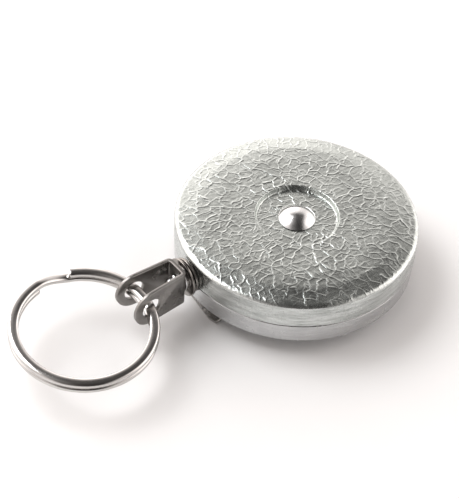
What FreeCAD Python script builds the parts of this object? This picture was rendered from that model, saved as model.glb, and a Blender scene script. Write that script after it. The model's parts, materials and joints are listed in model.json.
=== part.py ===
import FreeCAD, Part
import math
import os
import Sketcher
from FreeCAD import Placement, Rotation, Vector

# Retractable key reel: round steel case with a belt clip, a sprung cord drum inside,
# and a swivelling yoke that carries a split ring.
# Frame: origin on the case axis, on the plane of the clip's flat land, +Z towards the
# front cover, +X from the case axis towards the cord outlet. Millimetres and degrees.

DRIVING = [
    ("case_dia", 57.15), ("case_height", 12.45), ("case_lift", 3.7), ("seam_height", 5.2),
    ("sheet_metal", 0.9), ("edge_round", 1.1), ("bottom_round", 0.7), ("small_round", 0.3),
    ("crown_r", 20.5), ("crown_mid_r", 24.5), ("crown_mid_drop", 0.12), ("crown_drop", 0.4),
    ("dish_top_r", 9.95), ("dish_floor_r", 9.05), ("dish_round", 0.7), ("dish_depth", 1.15),
    ("cover_lap", 2.6), ("band_step", 0.22), ("seam_gap", 0.15), ("rivet_head_r", 4.35),
    ("rivet_head_rise", 1.75), ("rivet_shank_r", 1.55), ("rivet_tail_r", 3.2),
    ("rivet_tail_rise", 0.55), ("arbor_r", 3.0), ("arbor_slot", 0.5), ("washer_reach", 3.0),
    ("clip_width", 17.2), ("clip_bend_x", -24.0), ("clip_base_end", 8.0), ("clip_tip_x", 27.0),
    ("clip_split", 0.2), ("clip_land_end", 6.0), ("clip_crest_x", 17.0), ("clip_crest_rise", 2.1),
    ("clip_tip_round", 1.2), ("clip_rivet_x", -17.0), ("clip_rivet_r", 1.0),
    ("clip_rivet_head_r", 2.0), ("clip_rivet_head", 0.5), ("clip_rivet_tail_r", 1.6),
    ("clip_rivet_tail", 0.35), ("drum_bottom", 5.1), ("drum_top", 13.4), ("drum_core_r", 13.45),
    ("drum_cup_r", 11.9), ("drum_wall", 1.0), ("drum_flange_r", 21.6), ("drum_flange", 1.0),
    ("groove_width", 1.3), ("drum_play", 0.06), ("lid_thick", 1.0), ("screw_r", 0.4),
    ("screw_circle_r", 12.7), ("screw_head_r", 0.85), ("screw_head", 0.5), ("spring_low", 6.5),
    ("spring_height", 5.5), ("spring_metal", 0.22), ("spring_turns", 10), ("cord_dia", 1.0),
    ("cord_pitch", 1.05), ("cord_turns", 6), ("outlet_drop", 6.25), ("outlet_cant", 7.0),
    ("outlet_arc_r", 4.0), ("yoke_reach", 31.6), ("eyelet_flange_r", 4.35),
    ("eyelet_tail_r", 3.9), ("eyelet_tube_r", 2.65), ("liner_r", 1.95), ("liner_bore_r", 0.85),
    ("stop_washer_r", 4.75), ("swivel_collar_r", 3.0), ("swivel_head_r", 2.0),
    ("swivel_bore_r", 1.7), ("cord_hole_r", 0.62), ("ferrule_r", 1.45), ("yoke_height", 9.2),
    ("yoke_base_half", 3.23), ("yoke_tip_half", 4.08), ("yoke_length", 14.7),
    ("yoke_metal", 0.9), ("yoke_bend_r", 1.1), ("yoke_hole_x", 10.15), ("yoke_hole_r", 2.5),
    ("ring_outer_r", 16.8), ("ring_wire", 2.4), ("ring_coil", 1.46), ("ring_coil_gap", 0.06),
    ("ring_centre_x", 25.75), ("ring_roll", -4.0), ("ring_cut_angle", -110.5), ("ring_step", 28.5),
]

doc = FreeCAD.newDocument("KeyReel")
sheet = doc.addObject("Spreadsheet::Sheet", "Sizes")
for row, (name, number) in enumerate(DRIVING, start=1):
    sheet.set(f"A{row}", name)
    sheet.set(f"B{row}", str(number))
    sheet.setAlias(f"B{row}", name)
doc.recompute()


class Size:
    """A length or angle: its value now, and the expression over the sheet that gives it."""

    def __init__(self, value, text):
        self.value = float(value)
        self.text = text

    def __add__(self, other):
        other = size(other)
        return Size(self.value + other.value, f"({self.text} + {other.text})")

    def __sub__(self, other):
        other = size(other)
        return Size(self.value - other.value, f"({self.text} - {other.text})")

    def __mul__(self, factor):
        return Size(self.value * factor, f"({self.text} * {factor})")

    def __neg__(self):
        return self * -1


def size(item):
    """Turn a sheet alias or a plain number into a Size."""
    if isinstance(item, Size):
        return item
    if isinstance(item, str):
        return Size(getattr(sheet, item), f"Sizes.{item}")
    return Size(item, f"({item})")


case_r = size("case_dia") * 0.5
case_bottom = size("case_lift")
case_top = case_bottom + "case_height"
floor_z = case_bottom + "sheet_metal"
ceiling_z = case_top - "sheet_metal"
seam_z = case_bottom + "seam_height"
dish_z = case_top - "dish_depth"
dish_under_z = dish_z - "sheet_metal"
axis_z = case_top - "outlet_drop"
clip_z = case_bottom - "sheet_metal"
groove_low = axis_z - size("groove_width") * 0.5
groove_high = axis_z + size("groove_width") * 0.5
cord_r = size("cord_dia") * 0.5

CANT = math.radians(size("outlet_cant").value)
PULL = Placement(
    Vector(size("yoke_reach").value, 0, axis_z.value),
    Rotation(Vector(0, 0, 1), size("outlet_cant").value),
)
PARTS = []

# Clearances and tool lengths that no other size depends on.
RIVET_FIT = 0.03
PRESS_FIT = 0.02
SLIDE_FIT = 0.05
LAP_FIT = 0.08
TOOL_LENGTH = 12.0


def keep(label, shape_object, place=None):
    """Name a finished sub-part and put it on the list that is written out."""
    shape_object.Label = label
    if place is not None:
        shape_object.Placement = place
    PARTS.append(shape_object)
    return shape_object


def origin_plane(body, role):
    return next(item for item in body.Origin.OriginFeatures if item.Role == role)


def pin(sketch, geometry, end, x, y):
    """Fix one end point of a sketch line at a place given by two Sizes."""
    for kind, place in (("DistanceX", x), ("DistanceY", y)):
        if abs(place.value) < 1e-9:
            axis = -2 if kind == "DistanceX" else -1
            sketch.addConstraint(Sketcher.Constraint("PointOnObject", geometry, end, axis))
        else:
            index = sketch.addConstraint(
                Sketcher.Constraint(kind, -1, 1, geometry, end, place.value)
            )
            sketch.setExpression(f"Constraints[{index}]", place.text)


def outline(body, name, role, points, lift=None):
    """Closed outline of straight edges through the points, each one driven by the sheet."""
    sketch = body.newObject("Sketcher::SketchObject", name)
    sketch.AttachmentSupport = [(origin_plane(body, role), "")]
    sketch.MapMode = "FlatFace"
    if lift is not None:
        sketch.setExpression("AttachmentOffset.Base.z", size(lift).text)
    corners = [(size(x), size(y)) for x, y in points]
    count = len(corners)
    for index, (x, y) in enumerate(corners):
        next_x, next_y = corners[(index + 1) % count]
        start = Vector(x.value, y.value, 0)
        sketch.addGeometry(Part.LineSegment(start, Vector(next_x.value, next_y.value, 0)))
    for index, (x, y) in enumerate(corners):
        sketch.addConstraint(
            Sketcher.Constraint("Coincident", (index - 1) % count, 2, index, 1)
        )
        pin(sketch, index, 1, x, y)
    return sketch


def revolved(name, points, axis="V_Axis"):
    """Body turned from an outline of (radius, z), or of (x, radius) about the H axis."""
    body = doc.addObject("PartDesign::Body", name)
    sketch = outline(body, name + "_outline", "XZ_Plane", points)
    turn = body.newObject("PartDesign::Revolution", name + "_turn")
    turn.Profile = sketch
    turn.ReferenceAxis = (sketch, [axis])
    turn.Angle = 360
    doc.recompute()
    return body


def padded(name, role, points, length, lift=None, midplane=False):
    """Body padded from an outline by a driven length."""
    body = doc.addObject("PartDesign::Body", name)
    sketch = outline(body, name + "_outline", role, points, lift)
    pad = body.newObject("PartDesign::Pad", name + "_pad")
    pad.Profile = sketch
    pad.Midplane = midplane
    pad.setExpression("Length", size(length).text)
    doc.recompute()
    return body


def rounded(body, radius, picks, straight=False):
    """Fillet the body's circular edges at each (radius, z or x), or its Z-parallel edges at (x, y)."""
    base = body.Tip
    names = []
    for index, edge in enumerate(base.Shape.Edges, start=1):
        for first, second in picks:
            first, second = size(first).value, size(second).value
            if straight:
                ends = [vertex.Point for vertex in edge.Vertexes]
                stands = len(ends) == 2 and math.hypot(ends[0].x - ends[1].x, ends[0].y - ends[1].y) < 1e-6
                near = stands and math.hypot(ends[0].x - first, ends[0].y - second) < 1e-3
            else:
                curve = edge.Curve
                round_edge = curve.TypeId == "Part::GeomCircle" and len(edge.Vertexes) == 1
                near = round_edge and abs(curve.Radius - first) < 1e-3
                near = near and min(abs(curve.Center.z - second), abs(curve.Center.x - second)) < 1e-3
            if near:
                names.append(f"Edge{index}")
    if len(names) != len(picks):
        raise SystemExit(f"{body.Name}: {len(names)} edges found for {len(picks)} fillets")
    fillet = body.newObject("PartDesign::Fillet", f"{body.Name}_round{len(body.Group)}")
    fillet.Base = (base, names)
    fillet.setExpression("Radius", size(radius).text)
    body.Tip = fillet
    doc.recompute()


def rod(name, radius, length, place):
    """Part cylinder used as a pin or as the tool of a hole."""
    tool = doc.addObject("Part::Cylinder", name)
    tool.setExpression("Radius", size(radius).text)
    tool.setExpression("Height", size(length).text)
    tool.Placement = place
    return tool


def upright(x, y, z):
    return Placement(Vector(x, y, z), Rotation())


def along_pull(start):
    """Placement of a rod that lies on the pull axis and begins at this distance."""
    return PULL.multiply(Placement(Vector(start, 0, 0), Rotation(Vector(0, 1, 0), 90)))


def cut(label, base, tool):
    result = doc.addObject("Part::Cut", label + "_cut")
    result.Base = base
    result.Tool = tool
    doc.recompute()
    return result


# --- case ---------------------------------------------------------------------------------

def outlet_hole(name):
    """Tool that opens the side wall for the eyelet's tube."""
    return rod(name, size("eyelet_tube_r") + SLIDE_FIT, TOOL_LENGTH, along_pull(-TOOL_LENGTH))


def front_cover():
    """Domed cover with a dish round the rivet and a deep side wall."""
    inner_r = case_r - "sheet_metal"
    bore_r = size("rivet_shank_r") + RIVET_FIT
    body = revolved("front_cover_shell", [
        (bore_r, dish_z), ("dish_floor_r", dish_z), ("dish_top_r", case_top), ("crown_r", case_top),
        ("crown_mid_r", case_top - "crown_mid_drop"), (case_r, case_top - "crown_drop"),
        (case_r, seam_z), (inner_r, seam_z), (inner_r, ceiling_z - "crown_drop"),
        ("crown_mid_r", ceiling_z - "crown_mid_drop"), ("crown_r", ceiling_z),
        (size("dish_top_r") + "small_round", ceiling_z),
        (size("dish_floor_r") + "small_round", dish_under_z), (bore_r, dish_under_z),
    ])
    rounded(body, "edge_round", [(case_r, case_top - "crown_drop")])
    rounded(body, size("edge_round") - "sheet_metal", [(inner_r, ceiling_z - "crown_drop")])
    rounded(body, "dish_round", [("dish_floor_r", dish_z), ("dish_top_r", case_top)])
    keep("front_cover", cut("front_cover", body, outlet_hole("front_outlet")))


def back_cover():
    """Lower shell with a ledge under the seam and a lap inside the front cover."""
    band_r = case_r - "band_step"
    inner_r = band_r - "sheet_metal"
    lap_r = case_r - "sheet_metal" - LAP_FIT
    lap_top = seam_z + "cover_lap"
    ledge = seam_z - "seam_gap"
    bore_r = size("rivet_shank_r") + RIVET_FIT
    body = revolved("back_cover_shell", [
        (bore_r, case_bottom), (band_r, case_bottom), (band_r, ledge), (lap_r, ledge),
        (lap_r, lap_top), (lap_r - "sheet_metal", lap_top), (lap_r - "sheet_metal", ledge - "sheet_metal"),
        (inner_r, ledge - "sheet_metal"), (inner_r, floor_z), (bore_r, floor_z),
    ])
    rounded(body, "bottom_round", [(band_r, case_bottom)])
    rounded(body, "small_round", [(inner_r, floor_z), (band_r, ledge)])
    drilled = cut("back_outlet", body, outlet_hole("back_outlet_tool"))
    keep("back_cover", cut("back_cover", drilled, clip_rivet_hole("back_rivet_hole")))


def clip_rivet_hole(name):
    """Tool that drills the clip base and the back cover for their rivet."""
    place = upright(size("clip_rivet_x").value, 0, 0)
    return rod(name, size("clip_rivet_r") + PRESS_FIT, TOOL_LENGTH * 0.5, place)


def center_rivet():
    """Domed head in the dish, shank through the arbor, flat tail under the clip base."""
    head_r = size("rivet_head_r")
    tail_low = clip_z - "rivet_tail_rise"
    shank_r = size("rivet_shank_r")
    shank = rod("rivet_shank", shank_r, dish_z - tail_low, upright(0, 0, tail_low.value))
    tail = rod("rivet_tail", "rivet_tail_r", "rivet_tail_rise", upright(0, 0, tail_low.value))
    rise = size("rivet_head_rise")
    ball_r = (head_r.value ** 2 + rise.value ** 2) / (2 * rise.value)
    head_disc = rod("rivet_head_disc", head_r, rise, upright(0, 0, dish_z.value))
    ball = doc.addObject("Part::Sphere", "rivet_ball")
    ball_text = f"(({head_r.text})^2 + ({rise.text})^2) / (2 * {rise.text})"
    ball.setExpression("Radius", ball_text)
    ball.Placement = upright(0, 0, dish_z.value + rise.value - ball_r)
    head = doc.addObject("Part::Common", "rivet_head")
    head.Base = head_disc
    head.Tool = ball
    whole = doc.addObject("Part::MultiFuse", "rivet_whole")
    whole.Shapes = [shank, tail, head]
    doc.recompute()
    keep("center_rivet", whole)


ARBOR_SLOT_X = 2.0


def spring_arbor():
    """Fixed post round the rivet, slotted for the inner tab of the spring."""
    bore_r = size("rivet_shank_r") + RIVET_FIT
    post = revolved("arbor_post", [
        (bore_r, floor_z), ("arbor_r", floor_z), ("arbor_r", dish_under_z), (bore_r, dish_under_z),
    ])
    slot_room = size("small_round")
    slot = doc.addObject("Part::Box", "arbor_slot_tool")
    slot.setExpression("Length", size("arbor_r").text)
    slot.setExpression("Width", "Sizes.arbor_slot")
    slot.setExpression("Height", (size("spring_height") + slot_room * 2).text)
    slot.Placement = upright(
        ARBOR_SLOT_X, -size("arbor_slot").value / 2, size("spring_low").value - slot_room.value
    )
    keep("spring_arbor", cut("spring_arbor", post, slot))


def thrust_washer(label, low, high):
    """Nylon ring on the arbor, above or below the drum."""
    inner_r = size("arbor_r") + SLIDE_FIT
    outer_r = size("arbor_r") + "washer_reach"
    keep(label, revolved(label + "_disc", [
        (inner_r, low), (outer_r, low), (outer_r, high), (inner_r, high),
    ]))


# --- belt clip: one spring steel strip, bent back under the case ----------------------------

def clip_base():
    """Plate against the back cover and the half-round bend at its end."""
    metal = size("sheet_metal")
    bend_x = size("clip_bend_x")
    plate = doc.addObject("Part::Box", "clip_plate")
    plate.setExpression("Length", (size("clip_base_end") - bend_x).text)
    plate.setExpression("Width", "Sizes.clip_width")
    plate.setExpression("Height", metal.text)
    plate.Placement = upright(bend_x.value, -size("clip_width").value / 2, clip_z.value)
    middle_z = case_bottom.value / 2
    turned = Placement(
        Vector(bend_x.value, size("clip_width").value / 2, middle_z),
        Rotation(Vector(1, 0, 0), 90),
    )
    outer = rod("clip_bend_outer", case_bottom * 0.5, "clip_width", turned)
    inner = rod("clip_bend_inner", case_bottom * 0.5 - metal, "clip_width", turned)
    tube = cut("clip_bend_tube", outer, inner)
    margin = 1
    keep_half = doc.addObject("Part::Box", "clip_bend_half")
    keep_half.setExpression("Length", case_bottom.text)
    keep_half.setExpression("Width", (size("clip_width") + margin * 2).text)
    keep_half.setExpression("Height", (case_bottom + margin * 2).text)
    keep_half.Placement = upright(
        bend_x.value - case_bottom.value, -size("clip_width").value / 2 - margin, -margin
    )
    bend = doc.addObject("Part::Common", "clip_bend")
    bend.Base = tube
    bend.Tool = keep_half
    strip = doc.addObject("Part::MultiFuse", "clip_strip")
    strip.Shapes = [plate, bend]
    holes = doc.addObject("Part::MultiFuse", "clip_holes")
    holes.Shapes = [
        rod("clip_centre_hole", size("rivet_shank_r") + RIVET_FIT, TOOL_LENGTH, upright(0, 0, 0)),
        clip_rivet_hole("clip_fixing_hole"),
    ]
    keep("clip_base", cut("clip_base", strip, holes))


def clip_tongue():
    """Flat land on the resting plane, a wave up towards the case, and a lip flared down."""
    metal = size("sheet_metal")
    start = size("clip_bend_x") + "clip_split"
    crest_z = size("clip_crest_rise")
    crest_flat, crest_fall = 2.6, 0.25
    lower = [
        (start, size(0)), (size("clip_land_end"), size(0)), (size("clip_crest_x"), crest_z),
        (size("clip_crest_x") + crest_flat, crest_z - crest_fall), (size("clip_tip_x"), size(0)),
    ]
    upper = [(x, z + metal) for x, z in reversed(lower)]
    body = padded("clip_tongue_strip", "XZ_Plane", lower + upper, "clip_width", midplane=True)
    strip = body.Tip
    fillet = body.newObject("PartDesign::Fillet", "clip_tip_corners")
    fillet.Base = (strip, corner_edges(strip.Shape, size("clip_tip_x").value))
    fillet.setExpression("Radius", "Sizes.clip_tip_round")
    body.Tip = fillet
    doc.recompute()
    keep("clip_tongue", body)


def corner_edges(shape, x):
    """The two short edges through the metal at the strip's tip."""
    names = []
    for index, edge in enumerate(shape.Edges, start=1):
        ends = [vertex.Point for vertex in edge.Vertexes]
        through = edge.Length < 2 and abs(ends[0].y - ends[1].y) < 1e-6
        if through and min(point.x for point in ends) > x - 0.6:
            names.append(f"Edge{index}")
    return names


def clip_rivet():
    """Small rivet that keeps the clip from turning on the back cover."""
    x = size("clip_rivet_x").value
    head_low = (clip_z - "clip_rivet_head").value
    shank = rod("clip_rivet_shank", "clip_rivet_r", floor_z - clip_z, upright(x, 0, clip_z.value))
    head = rod("clip_rivet_disc", "clip_rivet_head_r", "clip_rivet_head", upright(x, 0, head_low))
    tail = rod("clip_rivet_end", "clip_rivet_tail_r", "clip_rivet_tail", upright(x, 0, floor_z.value))
    whole = doc.addObject("Part::MultiFuse", "clip_rivet_whole")
    whole.Shapes = [shank, head, tail]
    doc.recompute()
    keep("clip_rivet", whole)


# --- drum -----------------------------------------------------------------------------------

SCREW_LOW = 9.2
SCREW_HOLE_LOW = 9.0
SPRING_START = 0.45
SPRING_END_ROOM = 0.5
SPRING_TAB_X = 2.2


def drum_body():
    """Cup that holds the spring, with the lower flange of the cord groove."""
    bore_r = size("arbor_r") + "drum_play"
    low = size("drum_bottom")
    cup_top = size("drum_top") - "lid_thick" - SLIDE_FIT
    body = revolved("drum_cup", [
        (bore_r, low), ("drum_core_r", low), ("drum_core_r", groove_low - "drum_flange"),
        ("drum_flange_r", groove_low - "drum_flange"), ("drum_flange_r", groove_low),
        ("drum_core_r", groove_low), ("drum_core_r", cup_top), ("drum_cup_r", cup_top),
        ("drum_cup_r", low + "drum_wall"), (bore_r, low + "drum_wall"),
    ])
    holes = doc.addObject("Part::MultiFuse", "drum_screw_holes")
    holes.Shapes = screw_holes("drum_hole") + [anchor_pin("anchor_pocket", PRESS_FIT)]
    keep("drum_body", cut("drum_body", body, holes))


def drum_lid():
    """Lid over the spring, with a sleeve and the upper flange of the cord groove."""
    bore_r = size("arbor_r") + "drum_play"
    lid_low = size("drum_top") - "lid_thick"
    sleeve_in = size("drum_core_r") + SLIDE_FIT
    sleeve_out = sleeve_in + "drum_wall"
    body = revolved("drum_lid_disc", [
        (bore_r, lid_low), (sleeve_in, lid_low), (sleeve_in, groove_high),
        ("drum_flange_r", groove_high), ("drum_flange_r", groove_high + "drum_flange"),
        (sleeve_out, groove_high + "drum_flange"), (sleeve_out, "drum_top"), (bore_r, "drum_top"),
    ])
    holes = doc.addObject("Part::MultiFuse", "lid_screw_holes")
    holes.Shapes = screw_holes("lid_hole")
    keep("drum_lid", cut("drum_lid", body, holes))


def on_screw_circle(name, radius, length, low):
    """Three upright rods on the screw circle."""
    rods = []
    circle_r = size("screw_circle_r").value
    for index in range(3):
        angle = math.radians(60 + 120 * index)
        place = upright(circle_r * math.cos(angle), circle_r * math.sin(angle), low)
        rods.append(rod(f"{name}_{index}", radius, length, place))
    return rods


def screw_holes(name):
    radius = size("screw_r") + PRESS_FIT
    return on_screw_circle(name, radius, size("drum_top") - SCREW_HOLE_LOW, SCREW_HOLE_LOW)


def drum_screws():
    """Three small screws that hold the lid to the cup."""
    shanks = on_screw_circle("screw_shank", "screw_r", size("drum_top") - SCREW_LOW, SCREW_LOW)
    heads = on_screw_circle("screw_head", "screw_head_r", "screw_head", size("drum_top").value)
    whole = doc.addObject("Part::MultiFuse", "drum_screw_set")
    whole.Shapes = shanks + heads
    doc.recompute()
    keep("drum_screws", whole)


def spiral_arcs(first_r, pitch, half_turns, start_angle):
    """Half circles that grow by half a pitch each, tangent where they meet."""
    arcs = []
    centre = Vector(0, 0, 0)
    radius = first_r
    angle = start_angle
    for _ in range(half_turns):
        arcs.append((Vector(centre), radius, angle))
        grow = pitch / 2
        angle += math.pi
        centre = centre - Vector(math.cos(angle), math.sin(angle), 0) * grow
        radius += grow
    return arcs


def arc_edge(centre, radius, angle, sweep=math.pi):
    """Arc that starts at the angle and turns anticlockwise through the sweep."""
    points = []
    for part in (0, 0.5, 1):
        turn = angle + sweep * part
        points.append(centre + Vector(math.cos(turn), math.sin(turn), 0) * radius)
    return Part.Arc(*points).toShape()


def power_spring():
    """Flat spiral of spring steel: inner tab in the arbor's slot, outer end by the cup wall."""
    inner_r = size("arbor_r").value + SPRING_START
    turns = int(size("spring_turns").value)
    metal = size("spring_metal").value
    pitch = (size("drum_cup_r").value - inner_r - SPRING_END_ROOM) / turns
    arcs = spiral_arcs(inner_r, pitch, 2 * turns, 0)
    half = metal / 2
    outside = [arc_edge(c, r + half, a) for c, r, a in arcs]
    inside = [arc_edge(c, r - half, a) for c, r, a in arcs]
    last = outside[-1].Vertexes[-1].Point
    last_in = inside[-1].Vertexes[-1].Point
    corners = [
        inside[0].Vertexes[0].Point, Vector(SPRING_TAB_X, 0, 0),
        Vector(SPRING_TAB_X, -metal, 0), Vector(inner_r + half, -metal, 0),
        outside[0].Vertexes[0].Point,
    ]
    tab = [Part.LineSegment(a, b).toShape() for a, b in zip(corners, corners[1:])]
    end = Part.LineSegment(last, last_in).toShape()
    wire = Part.Wire(Part.__sortEdges__(outside + inside + tab + [end]))
    solid = Part.Face(wire).extrude(Vector(0, 0, size("spring_height").value))
    feature = doc.addObject("Part::Feature", "power_spring_strip")
    feature.Shape = solid
    keep("power_spring", feature, upright(0, 0, size("spring_low").value))


# --- cord: one length, from the anchor round the drum and out to the fitting ------------------

CORD_ARC_BACK = 6.45
ANCHOR_BACK_ANGLE = 0.09
ANCHOR_INSET = 0.5


def outlet_route():
    """Radius of the first turn, where the cord leaves the drum, and the arc onto the pull axis."""
    turns = size("cord_turns").value
    first_r = size("drum_core_r").value + cord_r.value + SLIDE_FIT
    leave_r = first_r + turns * size("cord_pitch").value
    arc_r = size("outlet_arc_r").value
    reach = size("yoke_reach").value
    arc_end = Vector(reach - CORD_ARC_BACK * math.cos(CANT), -CORD_ARC_BACK * math.sin(CANT), 0)
    centre = arc_end + Vector(math.sin(CANT), -math.cos(CANT), 0) * arc_r
    far = math.hypot(centre.x, centre.y)
    heading = math.atan2(centre.y, centre.x) + math.asin((arc_r + leave_r) / far)
    left = Vector(-math.sin(heading), math.cos(heading), 0)
    return first_r, left * -leave_r, centre + left * arc_r, centre, arc_end, heading


def round_tube(path, radius):
    """Solid tube along a planar path of runs and tangent arcs."""
    first = path.Edges[0]
    start = first.valueAt(first.FirstParameter)
    direction = first.tangentAt(first.FirstParameter)
    section = Part.Wire(Part.makeCircle(radius, start, direction))
    tube = path.makePipeShell([section], True, True)
    expected = math.pi * radius * radius * path.Length
    print(f"tube length {path.Length:.2f} mm, volume ratio {tube.Volume / expected:.5f}")
    return tube


def cord_winding():
    """Six turns of half circles, one on the other in the drum's narrow groove."""
    first_r, leave, _, _, _, _ = outlet_route()
    leave_angle = math.atan2(leave.y, leave.x)
    half_turns = int(2 * size("cord_turns").value)
    arcs = spiral_arcs(first_r, size("cord_pitch").value, half_turns, leave_angle)
    edges = [arc_edge(c, r, a) for c, r, a in arcs]
    shift = leave - edges[-1].Vertexes[-1].Point
    path = Part.Wire(edges)
    path.translate(shift)
    feature = doc.addObject("Part::Feature", "cord_winding_tube")
    feature.Shape = round_tube(path, cord_r.value)
    print(f"winding shift {shift.Length:.4f} mm, radii {arcs[0][1]:.2f} to {arcs[-1][1]:.2f}")
    keep("cord_winding", feature, upright(0, 0, axis_z.value))


def cord_inner_run():
    """Straight run from the drum to the outlet, and the arc onto the pull axis."""
    _, leave, arc_start, centre, arc_end, heading = outlet_route()
    arc_r = size("outlet_arc_r").value
    middle_angle = (heading + CANT) / 2 + math.pi / 2
    middle = centre + Vector(math.cos(middle_angle), math.sin(middle_angle), 0) * arc_r
    run = Part.LineSegment(leave, arc_start).toShape()
    bend = Part.Arc(arc_start, middle, arc_end).toShape()
    feature = doc.addObject("Part::Feature", "cord_inner_tube")
    feature.Shape = round_tube(Part.Wire([run, bend]), cord_r.value)
    print(f"outlet run {run.Length:.2f} mm, arc radius {arc_r:.2f} mm")
    keep("cord_inner_run", feature, upright(0, 0, axis_z.value))


def cord_outlet_run():
    """Straight run from the bend, through the liner and the swivel, into the ferrule."""
    run = rod("cord_outlet_rod", cord_r, FERRULE_X + CORD_ARC_BACK, along_pull(-CORD_ARC_BACK))
    doc.recompute()
    keep("cord_outlet_run", run)


def anchor_pin(name, play):
    """Upright pin in the drum's core, just behind the start of the winding."""
    first_r, leave, _, _, _, _ = outlet_route()
    angle = math.atan2(leave.y, leave.x) - ANCHOR_BACK_ANGLE
    radius = first_r - cord_r.value - ANCHOR_INSET
    place = upright(radius * math.cos(angle), radius * math.sin(angle), groove_low.value)
    return rod(name, size("cord_dia") * 0.45 + play, "groove_width", place)


def cord_anchor():
    """Crimped sleeve on the cord's inner end, let into the drum's core."""
    pin_solid = anchor_pin("cord_anchor_pin", 0)
    doc.recompute()
    keep("cord_anchor", pin_solid)


# --- outlet and fitting, in a frame whose x axis is the pull axis, 0 at the yoke's back ---------

LINER_BACK = -6.4
EYELET_BACK = -6.35
EYELET_TAIL = -5.85
FLANGE_BACK = -2.7
FLANGE_FRONT = -2.0
LINER_FRONT = -1.8
WASHER_BACK = -1.55
WASHER_FRONT = -0.95
YOKE_PLAY = 0.12
FERRULE_X = 1.75
LINER_FLARE = 0.9
MOUTH_FLARE = 0.5


def outlet_eyelet():
    """Steel eyelet through the side wall: round flange outside, rolled flange inside."""
    tube_r = size("eyelet_tube_r")
    bore_r = size("liner_r") + RIVET_FIT
    flange_r = size("eyelet_flange_r")
    body = revolved("outlet_eyelet_turned", [
        (EYELET_BACK, bore_r), (EYELET_BACK, "eyelet_tail_r"), (EYELET_TAIL, "eyelet_tail_r"),
        (EYELET_TAIL, tube_r), (FLANGE_BACK, tube_r), (FLANGE_BACK, flange_r),
        (FLANGE_FRONT, flange_r), (FLANGE_FRONT, bore_r),
    ], "H_Axis")
    rounded(body, size("small_round") * 0.7, [(flange_r, FLANGE_BACK), (flange_r, FLANGE_FRONT)])
    keep("outlet_eyelet", body, PULL)


def outlet_liner():
    """Nylon bush inside the eyelet, with a flared mouth at each end."""
    bore_r = size("liner_bore_r")
    flare_r = size("liner_r") + LINER_FLARE
    body = revolved("outlet_liner_turned", [
        (LINER_BACK, bore_r + MOUTH_FLARE), (LINER_BACK, "liner_r"), (FLANGE_FRONT, "liner_r"),
        (FLANGE_FRONT, flare_r), (LINER_FRONT, flare_r), (LINER_FRONT, bore_r + MOUTH_FLARE),
        (LINER_FRONT - MOUTH_FLARE, bore_r), (LINER_BACK + MOUTH_FLARE, bore_r),
    ], "H_Axis")
    keep("outlet_liner", body, PULL)


def stop_washer():
    """Round plate that lands on the outlet when the cord is in."""
    rim_r = size("stop_washer_r")
    body = revolved("stop_washer_turned", [
        (WASHER_BACK, "cord_hole_r"), (WASHER_BACK, rim_r),
        (WASHER_FRONT, rim_r), (WASHER_FRONT, "cord_hole_r"),
    ], "H_Axis")
    rounded(body, size("small_round") * 0.7, [(rim_r, WASHER_BACK), (rim_r, WASHER_FRONT)])
    keep("stop_washer", body, PULL)


def swivel_eyelet():
    """Collar, neck through the yoke's back and rolled head inside the yoke."""
    neck_r = size("swivel_bore_r") - "drum_play"
    head_x = size("yoke_metal") + YOKE_PLAY
    head_r = size("swivel_head_r")
    body = revolved("swivel_eyelet_turned", [
        (WASHER_FRONT, "cord_hole_r"), (WASHER_FRONT, "swivel_collar_r"),
        (-YOKE_PLAY, "swivel_collar_r"), (-YOKE_PLAY, neck_r), (head_x, neck_r), (head_x, head_r),
        (FERRULE_X, head_r - "small_round"), (FERRULE_X, "cord_hole_r"),
    ], "H_Axis")
    keep("swivel_eyelet", body, PULL)


def cord_ferrule():
    """Crimped ball that holds the cord's end in the swivel."""
    ease, length = 0.35, 1.8
    ferrule_r = size("ferrule_r")
    first, last, end = FERRULE_X + ease, FERRULE_X + length - ease, FERRULE_X + length
    body = revolved("cord_ferrule_turned", [
        (FERRULE_X, 0), (FERRULE_X, ferrule_r - ease), (first, ferrule_r), (last, ferrule_r),
        (end, ferrule_r - ease), (end, 0),
    ], "H_Axis")
    rounded(body, "small_round", [(ferrule_r, first), (ferrule_r, last)])
    keep("cord_ferrule", body, PULL)


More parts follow.
